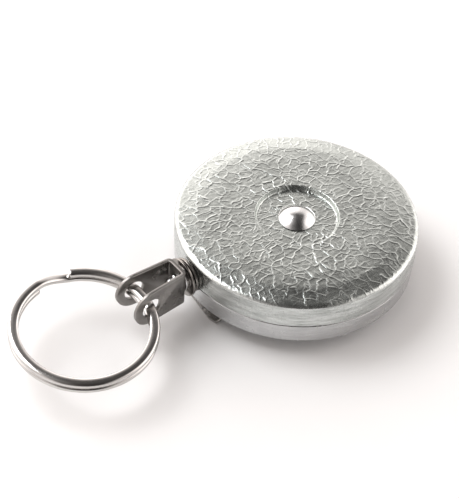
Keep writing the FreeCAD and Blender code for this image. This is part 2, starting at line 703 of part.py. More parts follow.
def yoke():
    """Bent strip: flat back, two ears that lean outward, round ends with a hole in each."""
    metal = size("yoke_metal")
    length = size("yoke_length")
    base = size("yoke_base_half")
    tip = size("yoke_tip_half")
    outer = [(size(0), -base), (length, -tip), (length, metal - tip)]
    inner = [(metal, metal - base), (metal, base - metal)]
    far = [(length, tip - metal), (length, tip), (size(0), base)]
    body = padded("yoke_strip", "XY_Plane", outer + inner + far, "yoke_height", midplane=True)
    rounded(body, "yoke_bend_r", [(size(0), -base), (size(0), base)], straight=True)
    rounded(body, size("yoke_metal") * 0.5, [(metal, metal - base), (metal, base - metal)], straight=True)
    half = size("yoke_height") * 0.5
    round_x = length - half
    ends = doc.addObject("Part::MultiFuse", "yoke_side_shape")
    block = doc.addObject("Part::Box", "yoke_side_block")
    block.setExpression("Length", (round_x + metal).text)
    block.Width = TOOL_LENGTH
    block.setExpression("Height", "Sizes.yoke_height")
    block.Placement = upright(-metal.value, -TOOL_LENGTH / 2, -half.value)
    across = Rotation(Vector(1, 0, 0), 90)
    end = rod(
        "yoke_round_end", half, TOOL_LENGTH, Placement(Vector(round_x.value, TOOL_LENGTH / 2, 0), across)
    )
    ends.Shapes = [block, end]
    shaped = doc.addObject("Part::Common", "yoke_shaped")
    shaped.Base = body
    shaped.Tool = ends
    holes = doc.addObject("Part::MultiFuse", "yoke_holes")
    ear_place = Placement(Vector(size("yoke_hole_x").value, TOOL_LENGTH / 2, 0), across)
    back_place = Placement(Vector(-metal.value, 0, 0), Rotation(Vector(0, 1, 0), 90))
    holes.Shapes = [
        rod("yoke_ear_hole", "yoke_hole_r", TOOL_LENGTH, ear_place),
        rod("yoke_swivel_hole", "swivel_bore_r", metal * 3, back_place),
    ]
    keep("yoke", cut("yoke", shaped, holes), PULL)


# --- split ring ---------------------------------------------------------------------------------

def ring_section(angle, low):
    """Section of one coil in the radial plane at an angle: flat wire with rounded outer edges."""
    outer = size("ring_outer_r").value
    inner = outer - size("ring_wire").value
    high = low + size("ring_coil").value
    soft = size("ring_coil").value * 0.3
    half_root = soft * (1 - math.sqrt(0.5))

    def at(radius, z):
        return Vector(radius * math.cos(angle), radius * math.sin(angle), z)

    def corner(radius, z, out, up):
        start = at(radius, z - up * soft)
        middle = at(radius - out * half_root, z - up * half_root)
        end = at(radius - out * soft, z)
        return start, middle, end

    corners = [corner(outer, high, 1, 1), corner(inner, high, -1, 1)[::-1],
               corner(inner, low, -1, -1), corner(outer, low, 1, -1)[::-1]]
    edges = []
    for index, (start, middle, end) in enumerate(corners):
        edges.append(Part.Arc(start, middle, end).toShape())
        edges.append(Part.LineSegment(end, corners[(index + 1) % 4][0]).toShape())
    return Part.Wire(edges)


def split_ring():
    """Two turns of flat wire, one on the other, with a step between them at the cut."""
    step = math.radians(size("ring_step").value)
    turn = 360 - size("ring_step").value
    gap = size("ring_coil_gap").value
    upper_low = gap / 2
    lower_low = -gap / 2 - size("ring_coil").value
    pieces = []
    for low in (upper_low, lower_low):
        face = Part.Face(ring_section(0, low))
        pieces.append(face.revolve(Vector(0, 0, 0), Vector(0, 0, -1), turn))
    sections = []
    for index in range(9):
        part = index / 8
        ease = part * part * (3 - 2 * part)
        sections.append(ring_section(step * part, lower_low + (upper_low - lower_low) * ease))
    pieces.append(Part.makeLoft(sections, True, False))
    whole = pieces[0].fuse(pieces[1:])
    feature = doc.addObject("Part::Feature", "split_ring_wire")
    feature.Shape = whole.Solids[0]
    print(f"ring solids {len(whole.Solids)}")
    roll = Rotation(Vector(1, 0, 0), size("ring_roll").value)
    cut_turn = Rotation(Vector(0, 0, 1), size("ring_cut_angle").value)
    local = Placement(Vector(size("ring_centre_x").value, 0, 0), roll.multiply(cut_turn))
    keep("split_ring", feature, PULL.multiply(local))


front_cover()
back_cover()
center_rivet()
spring_arbor()
thrust_washer("lower_thrust_washer", floor_z, size("drum_bottom") - LAP_FIT)
thrust_washer("upper_thrust_washer", size("drum_top") + LAP_FIT, dish_under_z)
clip_base()
clip_tongue()
clip_rivet()
drum_body()
drum_lid()
drum_screws()
power_spring()
cord_winding()
cord_anchor()
cord_inner_run()
cord_outlet_run()
outlet_eyelet()
outlet_liner()
stop_washer()
swivel_eyelet()
cord_ferrule()
yoke()
split_ring()
doc.recompute()

for item in doc.Objects:
    if "Invalid" in item.State or "Error" in item.State:
        raise SystemExit(f"{item.Label} did not build: {item.State}")
os.makedirs("parts", exist_ok=True)
for item in PARTS:
    shape = item.Shape
    if shape.isNull() or not shape.isValid():
        raise SystemExit(f"{item.Label} has no valid shape")
    box = shape.BoundBox
    print(
        f"{item.Label:22s} solids {len(shape.Solids)} volume {shape.Volume:9.2f} "
        f"x {box.XMin:7.2f} {box.XMax:7.2f} y {box.YMin:7.2f} {box.YMax:7.2f} "
        f"z {box.ZMin:6.2f} {box.ZMax:6.2f}"
    )
    shape.exportStep(f"parts/{item.Label}.step")
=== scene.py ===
import json
import math
import random
from contextlib import contextmanager

import bmesh
import bpy
import numpy as np
from mathutils import Matrix, Vector
from mathutils.kdtree import KDTree


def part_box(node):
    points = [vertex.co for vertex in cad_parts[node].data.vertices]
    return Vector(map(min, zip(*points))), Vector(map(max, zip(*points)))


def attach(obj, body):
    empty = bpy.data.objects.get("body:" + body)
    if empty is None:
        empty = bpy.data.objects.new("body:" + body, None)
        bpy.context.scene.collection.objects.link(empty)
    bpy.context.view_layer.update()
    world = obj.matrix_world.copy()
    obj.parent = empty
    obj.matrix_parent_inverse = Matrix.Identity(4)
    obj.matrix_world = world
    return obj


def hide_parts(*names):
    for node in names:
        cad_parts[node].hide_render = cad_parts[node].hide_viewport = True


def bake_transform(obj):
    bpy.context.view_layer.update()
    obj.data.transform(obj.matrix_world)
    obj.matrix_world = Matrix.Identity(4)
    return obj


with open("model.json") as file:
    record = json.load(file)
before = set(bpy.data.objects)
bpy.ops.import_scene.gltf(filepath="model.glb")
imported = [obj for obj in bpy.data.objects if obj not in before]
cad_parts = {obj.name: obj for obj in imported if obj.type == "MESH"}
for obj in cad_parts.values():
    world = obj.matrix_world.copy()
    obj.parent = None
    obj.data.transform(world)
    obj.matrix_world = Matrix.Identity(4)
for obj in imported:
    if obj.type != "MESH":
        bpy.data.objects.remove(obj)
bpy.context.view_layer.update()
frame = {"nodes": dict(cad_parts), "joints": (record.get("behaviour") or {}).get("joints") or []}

MM = 0.001
JOINTS = {joint["name"]: joint for joint in frame["joints"]}
SEED = 20


# --- sizes read from the frame ------------------------------------------------------------

cover_low, cover_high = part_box("front_cover")
band_low, band_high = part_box("back_cover")
rivet_low, rivet_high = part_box("center_rivet")
tongue_low, tongue_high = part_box("clip_tongue")
clip_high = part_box("clip_base")[1]
CASE_R = cover_high.y
BAND_R = band_high.y
TOP_Z = cover_high.z
SEAM_Z = cover_low.z
CASE_Z = band_low.z
RIVET_R = rivet_high.y


def pull_frame():
    """Matrix of the pull axis: origin at the back of the yoke, x along the pull, z up."""
    joint = JOINTS["yoke_swivel"]
    x = Vector(joint["axis"]).normalized()
    z = Vector((0, 0, 1))
    y = z.cross(x)
    turn = Matrix((x, y, z)).transposed().to_4x4()
    return Matrix.Translation(Vector(joint["pos_m"])) @ turn


PULL = pull_frame()
HOLE_X = (PULL.inverted() @ Vector(JOINTS["ring_swing"]["pos_m"])).x


# --- outlines and meshes --------------------------------------------------------------------

def rounded_line(corners, closed=False, steps=6):
    """Points of a line through (x, y, radius) corners, each rounded by its own radius."""
    points = []
    count = len(corners)
    for index, (x, y, radius) in enumerate(corners):
        here = Vector((x, y))
        if radius <= 0 or (not closed and index in (0, count - 1)):
            points.append(here)
            continue
        back = (Vector(corners[index - 1][:2]) - here).normalized()
        ahead = (Vector(corners[(index + 1) % count][:2]) - here).normalized()
        half = back.angle(ahead) / 2
        reach = radius / math.tan(half)
        centre = here + (back + ahead).normalized() * (radius / math.sin(half))
        start = here + back * reach - centre
        sweep = start.angle_signed(here + ahead * reach - centre)
        for step in range(steps + 1):
            turn = Matrix.Rotation(-sweep * step / steps, 2)
            points.append(centre + turn @ start)
    return points


def add_mesh(name, vertices, faces, material, smooth=True):
    mesh = bpy.data.meshes.new(name)
    mesh.from_pydata([tuple(v) for v in vertices], [], [tuple(f) for f in faces])
    mesh.validate()
    mesh.materials.append(material)
    if smooth:
        mesh.shade_smooth()
    piece = bpy.data.objects.new(name, mesh)
    bpy.context.scene.collection.objects.link(piece)
    return piece


@contextmanager
def reworked(mesh):
    """The mesh opened as a BMesh, and written back when the block ends."""
    work = bmesh.new()
    work.from_mesh(mesh)
    yield work
    work.to_mesh(mesh)
    work.free()


def settle_normals(piece, angle=35):
    """Outward faces, smooth shading, and sharp edges kept where faces meet steeply."""
    mesh = piece.data
    with reworked(mesh) as work:
        bmesh.ops.remove_doubles(work, verts=work.verts, dist=1e-7)
        bmesh.ops.recalc_face_normals(work, faces=work.faces)
    mesh.shade_smooth()
    mesh.set_sharp_from_angle(angle=math.radians(angle))


def lathe(name, outline, material, place=Matrix(), steps=160, angle=35):
    """Closed outline of (radius, height) turned about the local z axis."""
    vertices, faces, rings = [], [], []
    for radius, height in outline:
        if radius < 1e-9:
            rings.append([len(vertices)] * steps)
            vertices.append(Vector((0, 0, height)))
            continue
        rings.append(list(range(len(vertices), len(vertices) + steps)))
        for step in range(steps):
            turn = 2 * math.pi * step / steps
            vertices.append(Vector((radius * math.cos(turn), radius * math.sin(turn), height)))
    closed = outline[0][0] > 1e-9 or outline[-1][0] > 1e-9
    pairs = list(zip(rings, rings[1:]))
    if closed:
        pairs.append((rings[-1], rings[0]))
    for low, high in pairs:
        for step in range(steps):
            after = (step + 1) % steps
            corners = [low[step], low[after], high[after], high[step]]
            face = list(dict.fromkeys(corners))
            if len(face) > 2:
                faces.append(face)
    piece = add_mesh(name, [place @ v for v in vertices], faces, material)
    settle_normals(piece, angle)
    return piece


def along_pull(name, outline, material, steps=96, angle=35):
    """Lathe piece about the pull axis, from an outline of (x, radius) in millimetres."""
    upright = Matrix(((0, 0, 1, 0), (0, 1, 0, 0), (-1, 0, 0, 0), (0, 0, 0, 1)))
    points = [(radius * MM, x * MM) for x, radius in outline]
    return lathe(name, points, material, PULL @ upright, steps, angle)


def prism(name, outline, low, high, axis, material=None):
    """Solid between two levels along x, y or z, over an outline in the other two axes."""
    order = {"x": (2, 0, 1), "y": (0, 2, 1), "z": (0, 1, 2)}[axis]
    vertices = []
    for level in (low, high):
        for first, second in outline:
            values = (first, second, level)
            vertices.append(Vector(values[order[i]] for i in range(3)))
    count = len(outline)
    faces = [list(range(count))[::-1], list(range(count, 2 * count))]
    for index in range(count):
        after = (index + 1) % count
        faces.append([index, after, count + after, count + index])
    mesh = bpy.data.meshes.new(name)
    mesh.from_pydata([tuple(v) for v in vertices], [], faces)
    with reworked(mesh) as work:
        bmesh.ops.recalc_face_normals(work, faces=work.faces)
    if material is not None:
        mesh.materials.append(material)
    piece = bpy.data.objects.new(name, mesh)
    bpy.context.scene.collection.objects.link(piece)
    return piece


def circle(x, y, radius, steps=64):
    turns = [2 * math.pi * step / steps for step in range(steps)]
    return [(x + radius * math.cos(t), y + radius * math.sin(t)) for t in turns]


def carve(piece, tool, operation="DIFFERENCE"):
    """Apply a boolean with the tool and delete the tool."""
    cutter = piece.modifiers.new("carve", "BOOLEAN")
    cutter.operation = operation
    cutter.object = tool
    cutter.solver = "EXACT"
    bake_modifiers(piece)
    bpy.data.objects.remove(tool)


def bake_modifiers(piece):
    bpy.context.view_layer.update()
    graph = bpy.context.evaluated_depsgraph_get()
    mesh = bpy.data.meshes.new_from_object(piece.evaluated_get(graph))
    piece.modifiers.clear()
    piece.data = mesh


def soften_edges(piece, width, segments=2, angle=35):
    """Small rounded edges on a hard-edged solid."""
    bevel = piece.modifiers.new("bevel", "BEVEL")
    bevel.width = width
    bevel.segments = segments
    bevel.limit_method = "ANGLE"
    bevel.angle_limit = math.radians(angle)
    bevel.harden_normals = True
    bake_modifiers(piece)
    piece.data.shade_smooth()
    piece.data.set_sharp_from_angle(angle=math.radians(50))


# --- materials ------------------------------------------------------------------------------

def grey(value, warmth=0.0):
    return (value * (1 + warmth), value, value * (1 - warmth), 1)


def set_stops(node, stops):
    """Give a colour ramp node its (position, colour) stops, and return its output."""
    elements = node.color_ramp.elements
    while len(elements) < len(stops):
        elements.new(0.5)
    for element, (position, colour) in zip(elements, stops):
        element.position = position
        element.color = colour
    return node.outputs["Color"]


class Nodes:
    """Short way to write a material's node tree."""

    def __init__(self, name):
        self.material = bpy.data.materials.new(name)
        self.material.use_nodes = True
        self.tree = self.material.node_tree
        self.tree.nodes.clear()
        self.shader = self.tree.nodes.new("ShaderNodeBsdfPrincipled")
        output = self.tree.nodes.new("ShaderNodeOutputMaterial")
        self.tree.links.new(self.shader.outputs["BSDF"], output.inputs["Surface"])
        self.place = self.tree.nodes.new("ShaderNodeTexCoord").outputs["Object"]

    def link(self, source, socket):
        self.tree.links.new(source, socket)

    def add(self, kind, **inputs):
        node = self.tree.nodes.new(kind)
        for name, value in inputs.items():
            socket = node.inputs[name.replace("_", " ")]
            if isinstance(value, bpy.types.NodeSocket):
                self.link(value, socket)
            else:
                socket.default_value = value
        return node

    def stretched(self, scale):
        return self.add("ShaderNodeMapping", Vector=self.place, Scale=scale).outputs["Vector"]

    def noise(self, scale, detail=4.0, roughness=0.55, place=None):
        node = self.add("ShaderNodeTexNoise", Vector=place or self.place, Scale=scale,
                        Detail=detail, Roughness=roughness)
        return node.outputs["Fac"]

    def ramp(self, factor, stops):
        return set_stops(self.add("ShaderNodeValToRGB", Fac=factor), stops)

    def spread(self, factor, low, high, start=0.3, end=0.7):
        """Map a factor between start and end to a value between low and high."""
        node = self.add("ShaderNodeMapRange", Value=factor)
        for name, value in (("From Min", start), ("From Max", end), ("To Min", low), ("To Max", high)):
            node.inputs[name].default_value = value
        return node.outputs["Result"]

    def attribute(self, name):
        node = self.tree.nodes.new("ShaderNodeAttribute")
        node.attribute_name = name
        return node.outputs["Fac"]

    def maths(self, operation, first, second):
        node = self.tree.nodes.new("ShaderNodeMath")
        node.operation = operation
        for socket, value in zip(node.inputs, (first, second)):
            if isinstance(value, bpy.types.NodeSocket):
                self.link(value, socket)
            else:
                socket.default_value = value
        return node.outputs[0]

    def mixed(self, factor, first, second):
        node = self.tree.nodes.new("ShaderNodeMix")
        node.data_type = "RGBA"
        self.link(factor, node.inputs["Factor"])
        sockets = [s for s in node.inputs if s.type == "RGBA"]
        for socket, value in zip(sockets, (first, second)):
            if isinstance(value, bpy.types.NodeSocket):
                self.link(value, socket)
            else:
                socket.default_value = value
        return next(s for s in node.outputs if s.type == "RGBA")

    def bumped(self, height, strength, distance):
        node = self.add("ShaderNodeBump", Strength=strength, Distance=distance, Height=height)
        self.link(node.outputs["Normal"], self.shader.inputs["Normal"])


def plated(name, tone, warmth, rough, grain=0.5, spots=0.35, stretch=(1, 1, 1)):
    """Plated metal: mottled tone, uneven gloss, faint grain and small dull spots."""
    nodes = Nodes(name)
    cloud = nodes.noise(90, 5, 0.6, nodes.stretched(stretch))
    fine = nodes.noise(1500, 3, 0.6)
    speck = nodes.noise(5200, 2, 0.5)
    tones = nodes.ramp(cloud, [(0.3, grey(tone * 0.86, warmth * 1.5)), (0.7, grey(tone * 1.08, warmth))])
    spot = nodes.spread(fine, 0.0, spots, 0.62, 0.78)
    nodes.link(nodes.mixed(spot, tones, grey(tone * 0.45, warmth * 2)), nodes.shader.inputs["Base Color"])
    gloss = nodes.spread(cloud, rough * 0.75, rough * 1.3)
    gloss = nodes.maths("ADD", gloss, nodes.spread(fine, 0.0, 0.06))
    nodes.link(gloss, nodes.shader.inputs["Roughness"])
    nodes.shader.inputs["Metallic"].default_value = 1.0
    height = nodes.maths("ADD", fine, nodes.maths("MULTIPLY", speck, 0.4))
    nodes.bumped(height, grain, 0.00002)
    return nodes.material


def crackle_chrome():
    """Satin chrome cells between smoother raised veins. The veins' lighter colour is a painted highlight,
    and the side wall's streaked colour is a painted reflection.
    """
    nodes = Nodes("crackle_chrome")
    raised, wall = nodes.attribute("vein"), nodes.attribute("wall")
    cloud = nodes.noise(160, 5, 0.6)
    fine = nodes.noise(1900, 4, 0.65)
    pits = nodes.noise(4200, 2, 0.5)
    tones = nodes.ramp(cloud, [(0.3, (0.405, 0.43, 0.415, 1)), (0.7, (0.52, 0.55, 0.53, 1))])
    wear_and_sheen = nodes.mixed(nodes.spread(fine, 0.0, 0.7, 0.55, 0.75), tones, (0.19, 0.205, 0.195, 1))
    # Side wall: colour streaked around the case from 0.33 to 0.74, a painted reflection of bright and dark
    # bands, mixed by the wall mask over the dark specks of wear.
    streaks = nodes.noise(300, 6, 0.7, nodes.stretched((0.5, 0.5, 4)))
    drawn = nodes.ramp(streaks, [(0.35, (0.33, 0.345, 0.335, 1)), (0.62, (0.74, 0.76, 0.75, 1))])
    wear_and_sheen = nodes.mixed(nodes.maths("MULTIPLY", wall, 0.75), wear_and_sheen, drawn)
    # The raised veins get a lighter colour: a painted highlight standing in for the glint they catch;
    # their lower roughness is real.
    nodes.link(nodes.mixed(raised, wear_and_sheen, (0.62, 0.65, 0.635, 1)), nodes.shader.inputs["Base Color"])
    gloss = nodes.maths("ADD", nodes.spread(cloud, 0.17, 0.27), nodes.spread(fine, -0.03, 0.08))
    gloss = nodes.maths("SUBTRACT", gloss, nodes.maths("MULTIPLY", raised, 0.06))
    nodes.link(gloss, nodes.shader.inputs["Roughness"])
    nodes.shader.inputs["Metallic"].default_value = 1.0
    height = nodes.maths("ADD", fine, nodes.maths("MULTIPLY", pits, 0.5))
    nodes.bumped(height, 0.5, 0.00004)
    return nodes.material


def moulded(name, colour, rough):
    """Moulded plastic: slight flow marks, fine texture and uneven gloss."""
    nodes = Nodes(name)
    flow = nodes.noise(120, 3, 0.5, nodes.stretched((1, 1, 5)))
    fine = nodes.noise(2600, 3, 0.6)
    dark = tuple(c * 0.8 for c in colour[:3]) + (1,)
    light = tuple(min(1, c * 1.15 + 0.01) for c in colour[:3]) + (1,)
    nodes.link(nodes.ramp(flow, [(0.3, dark), (0.7, light)]), nodes.shader.inputs["Base Color"])
    nodes.link(nodes.spread(fine, rough * 0.85, rough * 1.2), nodes.shader.inputs["Roughness"])
    nodes.bumped(fine, 0.3, 0.00003)
    return nodes.material


def braided(name, colour):
    """Braided cord: two sets of slanting strands and fuzz."""
    nodes = Nodes(name)
    strands = []
    for lean in (1, -1):
        wave = nodes.add("ShaderNodeTexWave", Vector=nodes.stretched((1, 1, lean)), Scale=900.0,
                         Distortion=0.6, Detail=2.0)
        wave.bands_direction = "DIAGONAL"
        strands.append(wave.outputs["Fac"])
    weave = nodes.maths("MAXIMUM", *strands)
    fuzz = nodes.noise(6000, 3, 0.7)
    # The colour darkens to a third between the strands: painted shade in the grooves of the weave.
    dark = tuple(c * 0.35 for c in colour[:3]) + (1,)
    nodes.link(nodes.ramp(weave, [(0.25, dark), (0.8, colour)]), nodes.shader.inputs["Base Color"])
    nodes.link(nodes.spread(fuzz, 0.65, 0.9), nodes.shader.inputs["Roughness"])
    nodes.bumped(nodes.maths("ADD", weave, nodes.maths("MULTIPLY", fuzz, 0.3)), 0.8, 0.00006)
    return nodes.material


# --- camera, light and floor ------------------------------------------------------------------

CAMERA_PLACE = Vector((159.5, 214.9, 275.6)) * MM
CAMERA_AIM = Vector((16.41, -2.68, 9.9)) * MM
CAMERA_ROLL = math.radians(3.83)
CAMERA_LENS = 115.4
CAMERA_SENSOR = 36

# Level directions to the camera's right and away from it.
STUDIO_SIDE = Vector((-0.861, 0.509, 0.0))
STUDIO_DEEP = Vector((-0.550, -0.835, 0.0))
WORLD_STRENGTH = 2.46
WORLD_TINT = (1.0, 0.94, 0.91)

# Brightness from the far horizon (0) over the top (0.5) to the near horizon (1).
CEILING = [(0.0, 0.98), (0.17, 0.92), (0.235, 0.46), (0.27, 0.21), (0.31, 0.05), (0.55, 0.02), (1.0, 0.06)]
# How much of the white walls shows, and how far the ceiling is shaded, from left (0) to right (1).
WALLS = [
    (0.0, 1.0), (0.22, 0.95), (0.34, 0.16), (0.43, 0.10),
    (0.5, 0.0), (0.70, 0.03), (0.83, 0.9), (1.0, 0.95),
]
SHADE = [(0.0, 1.1), (0.44, 1.1), (0.50, 1.0), (0.62, 0.55), (1.0, 0.4)]


def make_camera():
    data = bpy.data.cameras.new("camera")
    data.lens = CAMERA_LENS
    data.sensor_width = CAMERA_SENSOR
    data.clip_start = 0.01
    data.clip_end = 10
    camera = bpy.data.objects.new("camera", data)
    camera.location = CAMERA_PLACE
    look = (CAMERA_AIM - CAMERA_PLACE).to_track_quat("-Z", "Y").to_matrix()
    camera.rotation_euler = (look @ Matrix.Rotation(CAMERA_ROLL, 3, "Z")).to_euler()
    bpy.context.scene.collection.objects.link(camera)
    bpy.context.scene.camera = camera


def bearing(azimuth, elevation):
    """Unit vector at an azimuth anticlockwise from +X and an elevation, in degrees."""
    a, e = math.radians(azimuth), math.radians(elevation)
    return Vector((math.cos(a) * math.cos(e), math.sin(a) * math.cos(e), math.sin(e)))


def area_light(name, azimuth, elevation, distance, size, power, tint):
    data = bpy.data.lights.new(name, "AREA")
    data.shape = "RECTANGLE"
    data.size, data.size_y = size
    data.energy = power
    data.color = tint
    light = bpy.data.objects.new(name, data)
    direction = bearing(azimuth, elevation)
    light.location = CAMERA_AIM + direction * distance
    light.rotation_euler = direction.to_track_quat("Z", "Y").to_euler()
    bpy.context.scene.collection.objects.link(light)


def make_world():
    """Studio: white walls left and right, dimmer behind the camera, under a mostly dark ceiling."""
    world = bpy.data.worlds.new("studio")
    world.use_nodes = True
    tree = world.node_tree
    tree.nodes.clear()

    def node(kind, *sources, **settings):
        made = tree.nodes.new(kind)
        for name, value in settings.items():
            setattr(made, name, value)
        for socket, source in zip(made.inputs, sources):
            if isinstance(source, bpy.types.NodeSocket):
                tree.links.new(source, socket)
            else:
                socket.default_value = source
        return made

    def ramp(factor, stops):
        return set_stops(node("ShaderNodeValToRGB", factor), [(at, grey(value)) for at, value in stops])

    heading = node("ShaderNodeTexCoord").outputs["Generated"]
    side, deep = (
        node("ShaderNodeVectorMath", heading, tuple(way), operation="DOT_PRODUCT").outputs["Value"]
        for way in (STUDIO_SIDE, STUDIO_DEEP)
    )
    up = node("ShaderNodeSeparateXYZ", heading).outputs["Z"]
    pitch = node("ShaderNodeMath", up, deep, operation="ARCTAN2").outputs[0]
    turn = node("ShaderNodeMath", pitch, math.pi, operation="DIVIDE").outputs[0]
    ceiling = ramp(turn, CEILING)
    across = node("ShaderNodeMath", side, 0.5, operation="MULTIPLY_ADD")
    across.inputs[2].default_value = 0.5
    walls = ramp(across.outputs[0], WALLS)
    behind = node("ShaderNodeMapRange", deep, -0.45, 0.15, 0.36, 1.0, interpolation_type="SMOOTHSTEP")
    lit = node("ShaderNodeMath", walls, behind.outputs[0], operation="MULTIPLY").outputs[0]
    mixed = node("ShaderNodeMix", data_type="RGBA")
    colours = [socket for socket in mixed.inputs if socket.type == "RGBA"]
    tree.links.new(lit, mixed.inputs["Factor"])
    shade = ramp(across.outputs[0], SHADE)
    shaded = node("ShaderNodeVectorMath", ceiling, shade, operation="MULTIPLY").outputs[0]
    tree.links.new(shaded, colours[0])
    colours[1].default_value = (1, 1, 1, 1)
    tinted = node("ShaderNodeVectorMath", operation="MULTIPLY")
    tree.links.new(next(s for s in mixed.outputs if s.type == "RGBA"), tinted.inputs[0])
    tinted.inputs[1].default_value = WORLD_TINT
    background = node("ShaderNodeBackground", tinted.outputs[0])
    background.inputs["Strength"].default_value = WORLD_STRENGTH
    output = node("ShaderNodeOutputWorld")
    tree.links.new(background.outputs["Background"], output.inputs["Surface"])
    bpy.context.scene.world = world


def make_floor():
    nodes = Nodes("paper_floor")
    nodes.link(nodes.ramp(nodes.noise(30, 3), [(0.3, grey(0.90)), (0.7, grey(0.92))]),
               nodes.shader.inputs["Base Color"])
    nodes.shader.inputs["Roughness"].default_value = 0.35
    nodes.shader.inputs["Specular IOR Level"].default_value = 0.3
    half = 1.5
    corners = [(-half, -half, 0), (half, -half, 0), (half, half, 0), (-half, half, 0)]
    floor = add_mesh("floor", corners, [(0, 1, 2, 3)], nodes.material, smooth=False)


make_camera()
make_world()
area_light(
    "key", azimuth=-58, elevation=53, distance=0.8, size=(0.46, 0.46), power=2.9, tint=(0.97, 0.985, 1.0),
)
make_floor()

view = bpy.context.scene.view_settings
view.view_transform = "Standard"
view.exposure = 0.0


# --- materials of every slot ------------------------------------------------------------------

CRACKLE = crackle_chrome()
# The band's mottle is stretched into streaks around the case: these colour streaks are painted reflection
# bands, and the gloss streaks with them.
BAND = plated("band_chrome", 0.56, -0.005, 0.2, stretch=(3, 3, 16))
RIVET = plated("rivet_polish", 0.70, 0.0, 0.17, grain=0.7, spots=0.6)
TURNED = plated("turned_steel", 0.52, 0.0, 0.28)
CLIP = plated("clip_nickel", 0.42, 0.03, 0.24)
SPRING = plated("blued_spring", 0.30, -0.08, 0.3)
YOKE = plated("yoke_nickel", 0.26, 0.035, 0.28, grain=0.9, spots=0.5, stretch=(4, 4, 4))
EYELET = plated("eyelet_nickel", 0.28, 0.05, 0.16)
RING = plated("ring_nickel", 0.60, 0.02, 0.09, grain=0.25, spots=0.15)
DRUM = moulded("drum_acetal", (0.045, 0.046, 0.05, 1), 0.45)
NYLON = moulded("nylon_natural", (0.72, 0.70, 0.62, 1), 0.4)
CORD = braided("cord_braid", (0.05, 0.05, 0.055, 1))

CAD_MATERIALS = {
    "spring_arbor": TURNED, "lower_thrust_washer": NYLON, "upper_thrust_washer": NYLON,
    "clip_rivet": RIVET, "drum_body": DRUM, "drum_lid": DRUM, "drum_screws": TURNED,
    "cord_winding": CORD, "cord_anchor": TURNED, "cord_inner_run": CORD, "outlet_liner": NYLON,
}


def paint_cad_nodes():
    """Give every carried-over CAD node its own finish."""
    for name, material in CAD_MATERIALS.items():
        node = frame["nodes"][name]
        node.data.materials.clear()
        node.data.materials.append(material)


# --- crackle relief ---------------------------------------------------------------------------

SITE_JITTER = 0.42
HASH_FACTOR = 2654435761
HASH_LEVELS = 4096


def jittered_sites(spacing, reach, seed):
    """Points of a loose honeycomb over a disc, in millimetres."""
    chance = random.Random(seed)
    rows = int(reach / spacing) + 2
    sites = []
    for row in range(-rows, rows + 1):
        for column in range(-rows, rows + 1):
            x = (column + 0.5 * (row % 2) + chance.uniform(-SITE_JITTER, SITE_JITTER)) * spacing
            y = (row * 0.87 + chance.uniform(-SITE_JITTER, SITE_JITTER)) * spacing
            if math.hypot(x, y) < reach:
                sites.append((x, y))
    return np.array(sites)


def wander(points, size, amount, seed):
    """Bend the plane smoothly, so that straight cell edges become crooked lines."""
    chance = np.random.default_rng(seed)
    moved = points.copy()
    for octave in range(3):
        for _ in range(4):
            heading = chance.uniform(0, 2 * math.pi)
            wave = 2 * math.pi / (size / 2 ** octave) * chance.uniform(0.7, 1.3)
            phase = chance.uniform(0, 2 * math.pi)
            swing = np.sin(points @ (wave * np.array([math.cos(heading), math.sin(heading)])) + phase)
            push = chance.uniform(-1, 1, 2) * amount / 2 ** octave
            moved += swing[:, None] * push
    return moved


def cell_veins(points, sites, width, kept, seed):
    """Ridge height from 0 to 1 along the edges between cells, some left out, most along y."""
    chance = np.random.default_rng(seed)
    key = chance.integers(1, 2 ** 30, len(sites))
    tree = KDTree(len(sites))
    for index, site in enumerate(sites):
        tree.insert((site[0], site[1], 0), index)
    tree.balance()
    near = np.array([[hit[1] for hit in tree.find_n((x, y, 0), 3)] for x, y in points])
    square = ((points[:, None, :] - sites[near]) ** 2).sum(2)
    height = np.zeros(len(points))
    for other in (1, 2):
        a, b = near[:, 0], near[:, other]
        gap = np.linalg.norm(sites[a] - sites[b], axis=1)
        away = (square[:, other] - square[:, 0]) / (2 * gap)
        draw = ((key[a] ^ key[b]) * HASH_FACTOR % HASH_LEVELS) / HASH_LEVELS
        strong = np.where(draw < kept, 0.45 + 0.55 * (draw / kept), 0.0)
        strong *= 0.45 + 0.55 * np.abs(sites[a] - sites[b])[:, 0] / gap
        height = np.maximum(height, strong * np.exp(-((away / width) ** 2)))
    return height


def crackle_height(points):
    """Vein height, 0 to 1, over the unrolled cover (points in millimetres)."""
    reach = 38.5
    bent = wander(points, 7.0, 0.36, SEED)
    main_sites, fine_sites = jittered_sites(2.9, reach, SEED + 1), jittered_sites(1.8, reach, SEED + 3)
    main = cell_veins(bent, main_sites, width=0.13, kept=0.92, seed=SEED + 2)
    fine = cell_veins(bent, fine_sites, width=0.11, kept=0.45, seed=SEED + 4)
    return np.maximum(main, 0.6 * fine)


# --- case -------------------------------------------------------------------------------------

VEIN_RISE = 0.105 * MM
SWELL = 0.022 * MM
COVER_STEPS = 1200
COVER_PITCH = 0.16 * MM
DISH_Z = TOP_Z - 1.15 * MM
SHANK_HOLE_R = 1.58 * MM


def cover_outline():
    """Outer surface from the rivet out over the dish, crown and rim to the seam."""
    corners = [
        (SHANK_HOLE_R, DISH_Z, 0), (9.4 * MM, DISH_Z, 0.25 * MM), (9.8 * MM, TOP_Z, 0.3 * MM),
        (19.5 * MM, TOP_Z, 20 * MM), (23.5 * MM, TOP_Z - 0.12 * MM, 14 * MM),
        (28.0 * MM, TOP_Z - 0.72 * MM, 1.6 * MM), (CASE_R, TOP_Z - 1.4 * MM, 0.7 * MM),
        (CASE_R, SEAM_Z + 0.15 * MM, 0.0), (CASE_R - 0.10 * MM, SEAM_Z, 0),
    ]
    return rounded_line(corners, steps=10)


